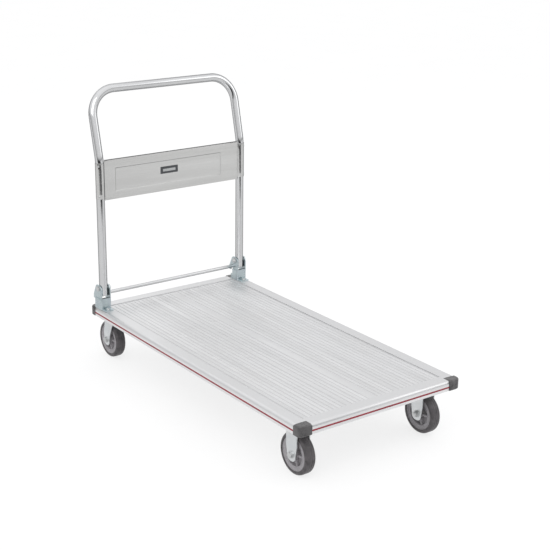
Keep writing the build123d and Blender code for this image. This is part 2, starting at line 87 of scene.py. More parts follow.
# ------------------------------------------------------------------ node wiring
class Wiring:
    """Adds and joins the nodes of one material, world or node group."""

    def __init__(self, tree: NodeTree) -> None:
        """Start on an empty tree.

        Args:
            tree: The node tree to fill.
        """
        self.tree = tree
        tree.nodes.clear()

    def add(self, kind: str, inputs: dict | None = None, **settings: object) -> Node:
        """Add a node.

        Args:
            kind: The node's class name.
            inputs: Values or sockets for its inputs, by socket name or index.
            settings: Other properties of the node.

        Returns:
            The new node.
        """
        node = self.tree.nodes.new(kind)
        for key, value in settings.items():
            setattr(node, key, value)
        for key, value in (inputs or {}).items():
            self.feed(node.inputs[key], value)
        return node

    def feed(self, socket: NodeSocket, value: object) -> None:
        """Give a socket a plain value, or join it to another node's output socket.

        Args:
            socket: The input socket.
            value: A plain value, or an output socket.
        """
        if isinstance(value, NodeSocket):
            self.tree.links.new(value, socket)
        else:
            socket.default_value = value

    def maths(self, operation: str, first: object, second: object = 0.0) -> NodeSocket:
        """A Math node's result, held between 0 and 1.

        Args:
            operation: The node's operation.
            first: The first value.
            second: The second value.

        Returns:
            The result's socket.
        """
        node = self.add("ShaderNodeMath", {0: first, 1: second}, operation=operation)
        node.use_clamp = True
        return node.outputs[0]

    def blend(self, factor: object, first: object, second: object, mode: str = "MIX") -> NodeSocket:
        """Mix two colours.

        Args:
            factor: How much of the second colour shows.
            first: The colour below.
            second: The colour above.
            mode: The blend type.

        Returns:
            The mixed colour's socket.
        """
        node = self.add("ShaderNodeMix", data_type="RGBA", blend_type=mode)
        self.feed(node.inputs[0], factor)
        self.feed(node.inputs[6], first)
        self.feed(node.inputs[7], second)
        return node.outputs[2]

    def spread(self, value: object, low: float, high: float, to_low: float = 0.0,
               to_high: float = 1.0) -> NodeSocket:
        """Map a value's range onto another one, clamped."""
        node = self.add("ShaderNodeMapRange", {0: value, 1: low, 2: high, 3: to_low, 4: to_high})
        return node.outputs[0]

    def mixed(self, factor: object, first: NodeSocket, second: NodeSocket) -> NodeSocket:
        """Mix two shaders."""
        return self.add("ShaderNodeMixShader", {0: factor, 1: first, 2: second}).outputs[0]

    def ramp(self, factor: object, stops: Sequence[tuple[float, float]],
             blue: float = 1.0) -> NodeSocket:
        """Turn a factor into greys.

        Args:
            factor: The factor, from 0 to 1.
            stops: (place, grey) of each stop, in order.
            blue: Share of the grey that its blue takes.

        Returns:
            The grey's socket.
        """
        node = self.add("ShaderNodeValToRGB", {0: factor})
        elements = node.color_ramp.elements
        while len(elements) < len(stops):
            elements.new(0.5)
        for element, (at, grey) in zip(elements, stops):
            element.position = at
            element.color = (grey, grey, grey * blue, 1.0)
        return node.outputs[0]

    def placed(self, scale: Sequence[float]) -> NodeSocket:
        """Object coordinates, scaled along each axis."""
        place = self.add("ShaderNodeTexCoord").outputs["Object"]
        return self.add("ShaderNodeMapping", {"Vector": place, "Scale": tuple(scale)}).outputs[0]

    def noise(self, scale: Sequence[float], detail: float = 3.0, rough: float = 0.5) -> NodeSocket:
        """Noise over the object, with its own scale along each axis."""
        node = self.add("ShaderNodeTexNoise", {"Vector": self.placed(scale), "Scale": 1.0,
                                               "Detail": detail, "Roughness": rough})
        return node.outputs[0]


def shared_group(name: str, inputs: dict[str, float], outputs: dict[str, str],
                 fill: Callable[[Wiring, Node], dict]) -> NodeTree:
    """Build a shader node group once, and return the same one afterwards.

    Args:
        name: The group's name.
        inputs: Its float inputs and their usual values.
        outputs: Its outputs and their socket types.
        fill: Wires the group; it gets the wiring and the input node, and returns a socket per output.

    Returns:
        The node group.
    """
    if name in bpy.data.node_groups:
        return bpy.data.node_groups[name]
    tree = bpy.data.node_groups.new(name, "ShaderNodeTree")
    for label, value in inputs.items():
        socket = tree.interface.new_socket(name=label, in_out="INPUT", socket_type="NodeSocketFloat")
        socket.default_value = value
    for label, kind in outputs.items():
        tree.interface.new_socket(name=label, in_out="OUTPUT", socket_type=kind)
    wiring = Wiring(tree)
    source = wiring.add("NodeGroupInput")
    sink = wiring.add("NodeGroupOutput")
    for label, socket in fill(wiring, source).items():
        wiring.feed(sink.inputs[label], socket)
    return tree


def worn_and_light_painted_edges() -> NodeTree:
    """Mask of the outer edges, broken up by noise: rubbed edges on most finishes, painted shade on the panel
    and rails, and a painted highlight on the caps.

    Returns:
        The node group.
    """
    def fill(w: Wiring, source: Node) -> dict:
        """Wire the group's inside."""
        rounded = w.add("ShaderNodeBevel", {"Radius": source.outputs["Width"]}, samples=4).outputs[0]
        flat = w.add("ShaderNodeNewGeometry").outputs["Normal"]
        match = w.add("ShaderNodeVectorMath", {0: rounded, 1: flat}, operation="DOT_PRODUCT").outputs["Value"]
        turned = w.maths("SUBTRACT", 1.0, match)
        edge = w.spread(turned, 0.02, 0.22)
        broken = w.spread(w.noise((90, 90, 90), 4.0), 0.35, 0.62)
        return {"Mask": w.maths("MULTIPLY", w.maths("MULTIPLY", edge, broken), source.outputs["Amount"])}
    return shared_group("worn and light-painted edges", {"Width": 0.0012, "Amount": 1.0}, {"Mask": "NodeSocketFloat"}, fill)


def settled_dust() -> NodeTree:
    """Mask of the fine dust that lies on what faces up.

    Returns:
        The node group.
    """
    def fill(w: Wiring, source: Node) -> dict:
        """Wire the group's inside."""
        normal = w.add("ShaderNodeNewGeometry").outputs["Normal"]
        up = w.add("ShaderNodeSeparateXYZ", {0: normal}).outputs["Z"]
        faces_up = w.spread(up, 0.2, 0.95)
        cloud = w.spread(w.noise((7, 7, 7), 6.0, 0.6), 0.38, 0.7)
        fine = w.spread(w.noise((160, 160, 160), 2.0), 0.3, 0.75)
        mask = w.maths("MULTIPLY", w.maths("MULTIPLY", faces_up, cloud), fine)
        return {"Mask": w.maths("MULTIPLY", mask, source.outputs["Amount"])}
    return shared_group("settled dust", {"Amount": 1.0}, {"Mask": "NodeSocketFloat"}, fill)


def grain(name: str, scale: Sequence[float], cloud_scale: Sequence[float]) -> NodeTree:
    """Fine grain and slow variation, each from 0 to 1.

    Args:
        name: The group's name, one for each direction of the grain.
        scale: How fine the grain is along each axis.
        cloud_scale: How fine the slow variation is along each axis.

    Returns:
        The node group.
    """
    def fill(w: Wiring, source: Node) -> dict:
        """Wire the group's inside."""
        fine = w.noise(scale, 5.0, 0.65)
        slow = w.noise(cloud_scale, 3.0, 0.5)
        return {"Fine": w.maths("MULTIPLY", fine, source.outputs["Strength"]), "Slow": slow}
    return shared_group(name, {"Strength": 1.0}, {"Fine": "NodeSocketFloat", "Slow": "NodeSocketFloat"}, fill)


# ------------------------------------------------------------------ finishes
# Painted reflection: how far bright metal's colour is painted towards a darker one as its surface turns away,
# standing in for dark reflections: (turn, share of the darker colour).
PAINTED_REFLECTION_BANDS = ((0.0, 0.0), (0.32, 0.05), (0.50, 0.45), (0.64, 0.1), (0.82, 1.0), (1.0, 0.6))


@dataclass(frozen=True)
class Finish:
    """One surface finish: base colours, gloss, grain, edge marks, painted shade and painted reflection."""

    name: str
    slot: str
    dark: tuple[float, float, float]
    light: tuple[float, float, float]
    metallic: float = 0.0
    rough: tuple[float, float] = (0.4, 0.55)
    grain_scale: tuple[float, float, float] = (400.0,) * 3
    cloud_scale: tuple[float, float, float] = (9.0,) * 3
    bump: float = 0.05
    bump_distance: float = 0.0002
    edge_colour: tuple[float, float, float] = (0.8, 0.8, 0.8)
    edge_amount: float = 0.0
    edge_width: float = 0.0012
    dust: float = 0.15
    dust_colour: tuple[float, float, float] = (0.62, 0.60, 0.57)
    specular: float = 0.5
    coat: float = 0.0
    tint: tuple[float, float, float] | None = None
    tint_scale: float = 30.0
    painted_shade_above: float = 0.0
    painted_shade_blend: float = 0.1 * MM
    painted_shade_colour: tuple[float, float, float] = (0.8, 0.8, 0.8)
    painted_reflection_colour: tuple[float, float, float] | None = None
    rim_tint: tuple[float, float, float] = (0.30, 0.30, 0.31)

    def material(self) -> Material:
        """The material, built on first use and shared afterwards.

        Returns:
            The finished material.
        """
        if self.name in bpy.data.materials:
            return bpy.data.materials[self.name]
        made = bpy.data.materials.new(self.name)
        made.use_nodes = True
        w = Wiring(made.node_tree)
        colour, fine, slow = self.colour(w)
        uneven = w.maths("ADD", w.maths("MULTIPLY", slow, 0.6), w.maths("MULTIPLY", fine, 0.4))
        roughness = w.spread(uneven, 0.25, 0.75, *self.rough)
        if self.dust > 0.0:
            film = w.add("ShaderNodeGroup", {}, node_tree=settled_dust())
            film.inputs["Amount"].default_value = self.dust
            colour = w.blend(film.outputs["Mask"], colour, (*self.dust_colour, 1.0))
            roughness = w.maths("ADD", roughness, w.maths("MULTIPLY", film.outputs["Mask"], 0.4))
        relief = w.add("ShaderNodeBump", {"Strength": self.bump, "Distance": self.bump_distance,
                                          "Height": fine})
        shader = w.add("ShaderNodeBsdfPrincipled", {
            "Base Color": colour, "Roughness": roughness, "Metallic": self.metallic,
            "Specular IOR Level": self.specular, "Coat Weight": self.coat, "Coat Roughness": 0.12,
            "Normal": relief.outputs[0]})
        if self.painted_reflection_colour is not None:
            shader.inputs["Specular Tint"].default_value = (*self.rim_tint, 1.0)
        w.add("ShaderNodeOutputMaterial", {0: shader.outputs[0]})
        return made

    def colour(self, w: Wiring) -> tuple[NodeSocket, NodeSocket, NodeSocket]:
        """Wire the colour.

        Args:
            w: The material's wiring.

        Returns:
            The colour, the fine grain and the slow variation.
        """
        tree = grain(f"grain of {self.name}", self.grain_scale, self.cloud_scale)
        texture = w.add("ShaderNodeGroup", {}, node_tree=tree)
        fine, slow = texture.outputs["Fine"], texture.outputs["Slow"]
        mixed = w.maths("ADD", w.maths("MULTIPLY", slow, 0.65), w.maths("MULTIPLY", fine, 0.35))
        colour = w.blend(w.spread(mixed, 0.3, 0.7), (*self.dark, 1.0), (*self.light, 1.0))
        if self.tint is not None:
            patches = w.noise((self.tint_scale,) * 3, 4.0, 0.6)
            colour = w.blend(w.spread(patches, 0.42, 0.66, 0.0, 0.75), colour, (*self.tint, 1.0))
        # Painted shade: a darker colour painted on everything above a given height.
        if self.painted_shade_above > 0.0:
            place = w.add("ShaderNodeTexCoord").outputs["Object"]
            height = w.add("ShaderNodeSeparateXYZ", {0: place}).outputs["Z"]
            low, high = self.painted_shade_above - self.painted_shade_blend, self.painted_shade_above + self.painted_shade_blend
            painted_shade_mask = w.spread(height, low, high)
            colour = w.blend(painted_shade_mask, colour, (*self.painted_shade_colour, 1.0))
        # Painted reflection: dark bands painted into the colour as the surface turns away from the view.
        if self.painted_reflection_colour is not None:
            facing_away = w.add("ShaderNodeLayerWeight", {"Blend": 0.5}).outputs["Facing"]
            reflection_band_mask = w.ramp(facing_away, PAINTED_REFLECTION_BANDS)
            colour = w.blend(reflection_band_mask, colour, (*self.painted_reflection_colour, 1.0))
        # Edge marks: rubbed edges on most finishes; painted shade on the panel's and rails' edges, and a
        # painted highlight on the caps' edges.
        if self.edge_amount > 0.0:
            edge_marks = w.add("ShaderNodeGroup", {}, node_tree=worn_and_light_painted_edges())
            edge_marks.inputs["Width"].default_value = self.edge_width
            edge_marks.inputs["Amount"].default_value = self.edge_amount
            colour = w.blend(edge_marks.outputs["Mask"], colour, (*self.edge_colour, 1.0))
        return colour, fine, slow


# Painted shade: the rib tops above 0.192 m are painted darker, standing in for the shade along the ribs.
PLANKS = Finish("ribbed aluminium", "deck_aluminium", (0.62, 0.622, 0.626), (0.78, 0.782, 0.786), 0.92,
                (0.36, 0.54), (420.0, 5.0, 420.0), (26.0, 1.6, 10.0), 0.10, 0.00015,
                (0.80, 0.80, 0.80), 0.4, 0.0008, dust=0.18, painted_shade_above=0.1920,
                painted_shade_colour=(0.60, 0.602, 0.606))
# Painted shade: the rail's top band above about 0.185 m is painted darker than its sides, and its rounded
# edges a little darker.
RAILS = Finish("drawn aluminium", "rail_aluminium", (0.80, 0.802, 0.806), (0.92, 0.922, 0.926), 0.92,
               (0.30, 0.46), (9.0, 9.0, 300.0), (3.0, 3.0, 40.0), 0.06, 0.0001,
               (0.80, 0.80, 0.80), 0.4, 0.001, dust=0.15, painted_shade_above=0.1850, painted_shade_blend=4 * MM,
               painted_shade_colour=(0.67, 0.672, 0.676))
RED_STRIP = Finish("red vinyl", "red_strip", (0.20, 0.008, 0.018), (0.30, 0.014, 0.028), 0.0,
                   (0.32, 0.5), (500.0,) * 3, (14.0,) * 3, 0.08,
                   edge_colour=(0.55, 0.12, 0.12), edge_amount=0.3, dust=0.1)
# Painted highlight: the caps' rounded edges are painted a lighter grey.
CAP_PLASTIC = Finish("black moulding", "cap_plastic", (0.018, 0.017, 0.018), (0.12, 0.116, 0.118), 0.0,
                     (0.20, 0.38), (900.0,) * 3, (44.0,) * 3, 0.25, 0.0002,
                     (0.30, 0.30, 0.30), 0.9, 0.0018, dust=0.12)
PLUG_PLASTIC = Finish("black plug", "black_plastic", (0.012, 0.012, 0.012), (0.025, 0.025, 0.025), 0.0,
                      (0.4, 0.6), (800.0,) * 3, (30.0,) * 3, 0.2)
# Painted reflection: dark bands are painted into the tube's colour where it turns away.
CHROME = Finish("bright plating", "chrome_tube", (0.66, 0.665, 0.67), (0.76, 0.765, 0.77), 1.0,
                (0.07, 0.16), (60.0,) * 3, (5.0,) * 3, 0.012, 0.0001, dust=0.03,
                painted_reflection_colour=(0.16, 0.163, 0.166))
# Painted shade: the strip above 0.7148 m and the bent edges are painted near black; painted reflection bands
# darken it where it turns away.
PANEL_STEEL = Finish("satin sheet", "panel_steel", (0.61, 0.61, 0.60), (0.73, 0.73, 0.72), 0.95,
                     (0.12, 0.24), (6.0, 60.0, 420.0), (2.0, 8.0, 22.0), 0.06, 0.0001,
                     (0.20, 0.20, 0.20), 0.8, 0.001, dust=0.05,
                     painted_shade_above=0.7148, painted_shade_colour=(0.17, 0.17, 0.17),
                     painted_reflection_colour=(0.16, 0.16, 0.16))
LABEL_FACE = Finish("dark plate", "label", (0.028, 0.03, 0.034), (0.05, 0.053, 0.058), 0.0,
                    (0.25, 0.4), (700.0,) * 3, (60.0,) * 3, 0.05, dust=0.04, coat=0.3)
LABEL_FIELD = Finish("pale field", "label", (0.30, 0.31, 0.31), (0.42, 0.43, 0.43), 0.0,
                     (0.3, 0.45), (700.0,) * 3, (60.0,) * 3, 0.05, dust=0.04)
# Painted reflection: darker bands are painted into the bar's colour where it turns away.
BAR_ZINC = Finish("zinc bar", "bar_zinc", (0.60, 0.605, 0.61), (0.74, 0.745, 0.75), 0.95,
                  (0.24, 0.40), (20.0, 260.0, 260.0), (6.0, 20.0, 20.0), 0.05,
                  edge_colour=(0.85, 0.85, 0.85), edge_amount=0.4, dust=0.1,
                  painted_reflection_colour=(0.44, 0.44, 0.445))
BLUE_ZINC = Finish("blue zinc", "blue_zinc", (0.40, 0.47, 0.49), (0.60, 0.68, 0.69), 0.95,
                   (0.20, 0.38), (220.0,) * 3, (26.0,) * 3, 0.06, 0.0001,
                   (0.82, 0.84, 0.84), 0.6, 0.0014, dust=0.1, tint=(0.50, 0.56, 0.60), tint_scale=34.0)
CASTOR_ZINC = Finish("bright zinc", "castor_zinc", (0.66, 0.675, 0.68), (0.82, 0.835, 0.84), 0.9,
                     (0.26, 0.44), (240.0,) * 3, (24.0,) * 3, 0.06, 0.0001,
                     (0.86, 0.87, 0.87), 0.5, 0.0014, dust=0.12, tint=(0.66, 0.69, 0.71), tint_scale=26.0)
TYRE = Finish("black rubber", "tyre_rubber", (0.030, 0.027, 0.029), (0.108, 0.099, 0.104), 0.0,
              (0.30, 0.52), (520.0,) * 3, (70.0,) * 3, 0.30, 0.0003,
              (0.10, 0.095, 0.09), 0.5, 0.002, dust=0.22, dust_colour=(0.30, 0.28, 0.26), specular=0.45)
WHEEL_PLASTIC = Finish("grey moulding", "wheel_plastic", (0.24, 0.23, 0.24), (0.37, 0.355, 0.37), 0.0,
                       (0.40, 0.58), (700.0,) * 3, (34.0,) * 3, 0.15, 0.0002,
                       (0.28, 0.27, 0.27), 0.45, 0.0014, dust=0.18)
MEMBER_PAINT = Finish("grey paint", "member_steel", (0.22, 0.225, 0.23), (0.30, 0.305, 0.31), 0.0,
                      (0.35, 0.5), (500.0,) * 3, (12.0,) * 3, 0.12,
                      edge_colour=(0.5, 0.5, 0.5), edge_amount=0.5, dust=0.1, coat=0.1)
SPRING_STEEL = Finish("spring wire", "spring_steel", (0.30, 0.30, 0.30), (0.46, 0.46, 0.45), 1.0,
                      (0.25, 0.4), (300.0,) * 3, (40.0,) * 3, 0.05)
FASTENER_ZINC = Finish("zinc fasteners", "fastener_steel", (0.50, 0.51, 0.51), (0.70, 0.71, 0.71), 0.95,
                       (0.22, 0.40), (300.0,) * 3, (60.0,) * 3, 0.06, 0.0001,
                       (0.88, 0.88, 0.88), 0.6, 0.001, dust=0.08)


# ------------------------------------------------------------------ mesh helpers
def finish_piece(name: str, mesh: BMesh, finishes: Sequence[Finish], body: str,
                 stands_for: Iterable[str] = (), bevel: float = 0.0, sharp: float = 35.0) -> Object:
    """Turn a mesh into a finished piece that rides on its body.

    Args:
        name: The piece's name.
        mesh: The mesh, in the cart's frame and in metres; it is freed.
        finishes: Its finishes; faces pick one by material index.
        body: The body that it rides on.
        stands_for: CAD nodes that it replaces.
        bevel: Width of a Bevel modifier on its hard edges, or 0 for none.
        sharp: Edges that turn by more degrees than this shade as corners.

    Returns:
        The piece.
    """
    bmesh.ops.remove_doubles(mesh, verts=mesh.verts, dist=NEAR)
    bmesh.ops.recalc_face_normals(mesh, faces=mesh.faces)
    for face in mesh.faces:
        face.smooth = True
    for edge in mesh.edges:
        if len(edge.link_faces) == 2:
            edge.smooth = edge.calc_face_angle() < radians(sharp)
    data = bpy.data.meshes.new(name)
    mesh.to_mesh(data)
    mesh.free()
    piece = bpy.data.objects.new(name, data)
    bpy.context.scene.collection.objects.link(piece)
    for finish in finishes:
        data.materials.append(finish.material())
    if bevel > 0.0:
        round_edges(piece, bevel)
    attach(piece, body)
    nodes = list(stands_for)
    if nodes:
        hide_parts(*nodes)
    LOG.info("made %s", name)
    return piece


def round_edges(piece: Object, width: float, segments: int = 2, angle: float = 40.0) -> None:
    """Add a Bevel modifier that rounds the hard edges of a piece.

    Args:
        piece: The piece.
        width: Width of the rounding.
        segments: Steps across the rounding.
        angle: Edges that turn by more degrees than this are rounded.
    """
    bevel = piece.modifiers.new("rounded edges", "BEVEL")
    bevel.width = width
    bevel.segments = segments
    bevel.limit_method = "ANGLE"
    bevel.angle_limit = radians(angle)
    bevel.harden_normals = False
    bevel.use_clamp_overlap = True


def dress(node: str, finish: Finish, bevel: float = 0.0) -> None:
    """Give a CAD node its finish, and round its hard edges.

    Args:
        node: The CAD node's name.
        finish: Its finish.
        bevel: Width of the rounding, or 0 for none.
    """
    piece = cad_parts[node]
    material = finish.material()
    if not piece.data.materials:
        piece.data.materials.append(material)
    for index in range(len(piece.data.materials)):
        piece.data.materials[index] = material
    if bevel > 0.0:
        weld = piece.modifiers.new("joined corners", "WELD")
        weld.merge_threshold = 1e-5
        round_edges(piece, bevel)
    LOG.info("dressed %s as %s", node, finish.name)


def ring_profile(mesh: BMesh, points: Sequence[tuple[float, float]], centre: Vector,
                 steps: int, closed: bool = True, material: int = 0) -> list[BMFace]:
    """Spin an outline about the X axis through a centre.

    Args:
        mesh: The mesh to add to.
        points: (distance along the axis, radius) of each corner of the outline.
        centre: The centre of the turn.
        steps: How many steps make a full turn.
        closed: Whether the outline's last point joins its first.
        material: Material index of the new faces.

    Returns:
        The new faces.
    """
    verts = [mesh.verts.new(centre + Vector((along, 0.0, radius))) for along, radius in points]
    edges = [mesh.edges.new(pair) for pair in zip(verts, verts[1:])]
    if closed:
        edges.append(mesh.edges.new((verts[-1], verts[0])))
    before = set(mesh.faces)
    bmesh.ops.spin(mesh, geom=verts + edges, cent=centre, axis=Axis.X.vector, dvec=(0, 0, 0),
                   angle=2 * pi, steps=steps, use_merge=True, use_duplicate=False)
    faces = [face for face in mesh.faces if face not in before]
    for face in faces:
        face.material_index = material
    return faces


def turned(mesh: BMesh, build: Callable[[], None], turn: Matrix) -> None:
    """Run a step that adds to a mesh, and move only what it added.

    Args:
        mesh: The mesh.
        build: The step.
        turn: The transform for the new vertices.
    """
    before = set(mesh.verts)
    build()
    fresh = [vert for vert in mesh.verts if vert not in before]
    bmesh.ops.transform(mesh, matrix=turn, verts=fresh)


def facing(centre: Vector, direction: Vector) -> Matrix:
    """Transform that takes +X at the origin to a direction at a centre."""
    turn = Axis.X.vector.rotation_difference(direction).to_matrix().to_4x4()
    return Matrix.Translation(centre) @ turn


def cut(mesh: BMesh, axis: Axis, at: float) -> None:
    """Cut a mesh's faces where they cross a plane square to an axis."""
    bmesh.ops.bisect_plane(mesh, geom=mesh.verts[:] + mesh.edges[:] + mesh.faces[:],
                           plane_co=axis.vector * at, plane_no=axis.vector)


def soften(mesh: BMesh, edges: Iterable[BMEdge], width: float, segments: int = 2) -> None:
    """Bevel some of a mesh's edges."""
    bmesh.ops.bevel(mesh, geom=list(edges), offset=width, affect="EDGES", segments=segments, profile=0.5,
                    material=-1)


def block(mesh: BMesh, centre: Vector, size: Sequence[float]) -> list[BMVert]:
    """Add a block to a mesh.

    Args:
        mesh: The mesh to add to.
        centre: The block's centre.
        size: Its size along each axis.

    Returns:
        Its corners.
    """
    corners = bmesh.ops.create_cube(mesh, size=1.0)["verts"]
    place = Matrix.Translation(centre) @ Matrix.Diagonal((*size, 1.0))
    bmesh.ops.transform(mesh, matrix=place, verts=corners)
    return corners


def edges_of(made: Iterable) -> list[BMEdge]:
    """The edges among what an operator made."""
    return [part for part in made if isinstance(part, BMEdge)]


def arc(centre: tuple[float, float], radius: float, start: float, end: float,
        count: int) -> list[tuple[float, float]]:
    """Points along an arc, angles in degrees from the first axis."""
    steps = [radians(start + (end - start) * i / (count - 1)) for i in range(count)]
    return [(centre[0] + radius * cos(a), centre[1] + radius * sin(a)) for a in steps]


def middle(node: str) -> Vector:
    """Centre of a CAD node's box."""
    low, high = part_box(node)
    return (low + high) / 2


# ------------------------------------------------------------------ fasteners
@dataclass(frozen=True)
class HexFastener:
    """Hexagon bolt head, lock nut, washer and threaded end, in metres."""

    flats: float
    head: float
    shank: float
    pitch: float = 1.5 * MM
    land: float = 0.42
    raised: float = 0.25 * MM

    def prism(self, mesh: BMesh, start: float, end: float) -> None:
        """Hexagonal prism along +X with its far corners chamfered.

        Args:
            mesh: The mesh to add to.
            start: Where the prism starts.
            end: Where it ends, with the chamfered corners.
        """
        corner = self.flats / 3 ** 0.5
        made = bmesh.ops.create_cone(mesh, cap_ends=True, segments=6, radius1=corner, radius2=corner,
                                     depth=abs(end - start))
        turn = Matrix.Translation(((start + end) / 2, 0, 0)) @ Matrix.Rotation(pi / 2, 4, "Y")
        bmesh.ops.transform(mesh, matrix=turn, verts=made["verts"])
        far = [e for v in made["verts"] for e in v.link_edges
               if all(abs(w.co.x - end) < NEAR for w in e.verts)]
        soften(mesh, set(far), self.flats * 0.055)

    def bolt(self, mesh: BMesh, seat: Vector, direction: Vector, length: float) -> None:
        """Head seated at a point, its shank and thread going the other way.

        Args:
            mesh: The mesh to add to.
            seat: Where the head's underside sits.
            direction: From the seat towards the head's top.
            length: Shank length below the seat.
        """
        def build() -> None:
            """The bolt along +X."""
            top = self.head - self.raised - 0.05 * MM
            self.prism(mesh, 0.0, top)
            rim = self.flats * self.land
            ring_profile(mesh, [(top, rim), (top + self.raised, rim * 0.82), (top + self.raised, 0.0)],
                         Vector(), 24, closed=False)
            turns = int(length / self.pitch / 2)
            points = [(0.0, self.shank), (-length + turns * self.pitch, self.shank)]
            for i in range(turns):
                at = -length + (turns - i) * self.pitch
                points += [(at - 0.25 * self.pitch, self.shank), (at - 0.75 * self.pitch, self.shank * 0.9)]
            points += [(-length, self.shank * 0.85), (-length, 0.0)]
            ring_profile(mesh, points, Vector(), 24, closed=False)
        turned(mesh, build, facing(seat, direction))

    def nut(self, mesh: BMesh, seat: Vector, direction: Vector) -> None:
        """Lock nut seated at a point, with its collar towards a direction.

        Args:
            mesh: The mesh to add to.
            seat: Where the nut's underside sits.
            direction: From the seat towards the collar.
        """
        def build() -> None:
            """The nut along +X."""
            top = self.head * 1.05
            self.prism(mesh, 0.0, top)
            outer = self.flats * self.land
            collar = 0.9 * MM
            points = [(top - 0.1 * MM, outer), *arc((top + collar, outer - collar), collar, 90, 0, 4),
                      (top + 2 * collar, self.shank * 0.98)]
            ring_profile(mesh, points, Vector(), 24, closed=False)
        turned(mesh, build, facing(seat, direction))

    def washer(self, mesh: BMesh, seat: Vector, direction: Vector, radius: float,
               thick: float) -> None:
        """Flat washer with softened rims.

        Args:
            mesh: The mesh to add to.
            seat: Where the washer's near face lies.
            direction: From the near face to the far one.
            radius: Its outer radius.
            thick: Its thickness.
        """
        def build() -> None:
            """The washer along +X."""
            soft = thick * 0.2
            points = [(0.0, self.shank), (0.0, radius - soft), (soft, radius), (thick - soft, radius),
                      (thick, radius - soft), (thick, self.shank)]
            ring_profile(mesh, points, Vector(), 32)
        turned(mesh, build, facing(seat, direction))


# ------------------------------------------------------------------ castors
@dataclass
class Wheel:
    """One castor wheel: rubber tyre on a moulded, five-spoked centre, with its bearing sleeve."""

    end: str
    side: Side
    rim_radius: float = 52 * MM
    rim_inner: float = 38 * MM
    rim_half: float = 16 * MM
    hub_radius: float = 15 * MM
    hub_half: float = 19 * MM
    bore: float = 9 * MM
    spokes: int = 5

    @property
    def key(self) -> str:
        """The wheel's name inside node and body names."""
        return f"{self.end}_{self.side.word}"

    def build(self) -> None:
        """Build the tyre and the centre, and dress the bearing sleeve."""
        low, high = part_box(f"{self.key}_tyre")
        self.centre = (low + high) / 2
        self.radius = (high.z - low.z) / 2
        self.half = (high.x - low.x) / 2
        self.tyre()
        self.core()
        dress(f"{self.key}_wheel_bearing", FASTENER_ZINC)

    def tyre(self) -> None:
        """Rubber tyre: crowned tread with moulded lines, rounded shoulders and a stepped sidewall."""
        shoulder = 9 * MM
        edge = self.half - shoulder
        right = [(self.rim_half - 0.6 * MM, self.rim_radius - 0.2 * MM),
                 (self.half - 1.6 * MM, self.rim_radius + 0.2 * MM),
                 (self.half - 1.1 * MM, self.rim_radius + 2.0 * MM),
                 (self.half - 0.5 * MM, self.rim_radius + 2.3 * MM)]
        right += arc((edge, self.radius - shoulder), shoulder, 0, 84, 10)
        right += [(edge - 0.6 * MM, self.radius - 0.35 * MM), (edge - 1.5 * MM, self.radius - 0.35 * MM),
                  (edge - 2.0 * MM, self.radius), (0.6 * MM, self.radius),
                  (0.3 * MM, self.radius - 0.25 * MM)]
        outline = right + [(-a, r) for a, r in reversed(right)]
        mesh = bmesh.new()
        ring_profile(mesh, outline, self.centre, 96)
        finish_piece(f"{self.key}_tyre_rubber", mesh, [TYRE], f"{self.key}_wheel", [f"{self.key}_tyre"],
                     sharp=40)

    def core(self) -> None:
        """Moulded centre: rim with a raised lip on both faces, web, spokes and hub."""
        lip = 1.2 * MM
        face = self.rim_half
        rim = [(-face, self.rim_radius), (-face, self.rim_radius - 1.5 * MM),
               (-face + lip, self.rim_radius - 2.6 * MM), (-face + 2.4 * MM, self.rim_inner + 2.5 * MM),
               (-face + 1.4 * MM, self.rim_inner + 1.6 * MM),
               (-face + 1.8 * MM, self.rim_inner), (-3 * MM, self.rim_inner - 1.2 * MM)]
        rim += [(-a, r) for a, r in reversed(rim)]
        hub = [(-self.hub_half, self.bore), (-self.hub_half, self.hub_radius - 1.2 * MM),
               (-self.hub_half + 1.2 * MM, self.hub_radius), (-3 * MM, self.hub_radius + 1.2 * MM)]
        hub += [(-a, r) for a, r in reversed(hub)]
        mesh = bmesh.new()
        ring_profile(mesh, rim, self.centre, 96)
        ring_profile(mesh, hub, self.centre, 48)
        web = [(-3 * MM, self.hub_radius), (-3 * MM, self.rim_inner + MM), (3 * MM, self.rim_inner + MM),
               (3 * MM, self.hub_radius)]
        ring_profile(mesh, web, self.centre, 96)
        for index in range(self.spokes):
            angle = 2 * pi * index / self.spokes + radians(18)
            turned(mesh, lambda: self.spoke(mesh),
                   Matrix.Translation(self.centre) @ Matrix.Rotation(angle, 4, "X"))
        finish_piece(f"{self.key}_wheel_centre", mesh, [WHEEL_PLASTIC], f"{self.key}_wheel",
                     [f"{self.key}_wheel_core"], sharp=32)

    def spoke(self, mesh: BMesh) -> None:
        """One tapering spoke that stands on both faces of the web, with rounded edges.

        Args:
            mesh: The mesh to add to.
        """
        length = self.rim_inner - self.hub_radius + 3 * MM
        centre = Vector((0, 0, (self.rim_inner + self.hub_radius) / 2))
        corners = block(mesh, centre, (24 * MM, 5.5 * MM, length))
        for vert in corners:
            if vert.co.z < self.hub_radius + 2 * MM:
                vert.co.y *= 1.5
                vert.co.x *= 1.15
        soften(mesh, {edge for vert in corners for edge in vert.link_edges}, 1.0 * MM)


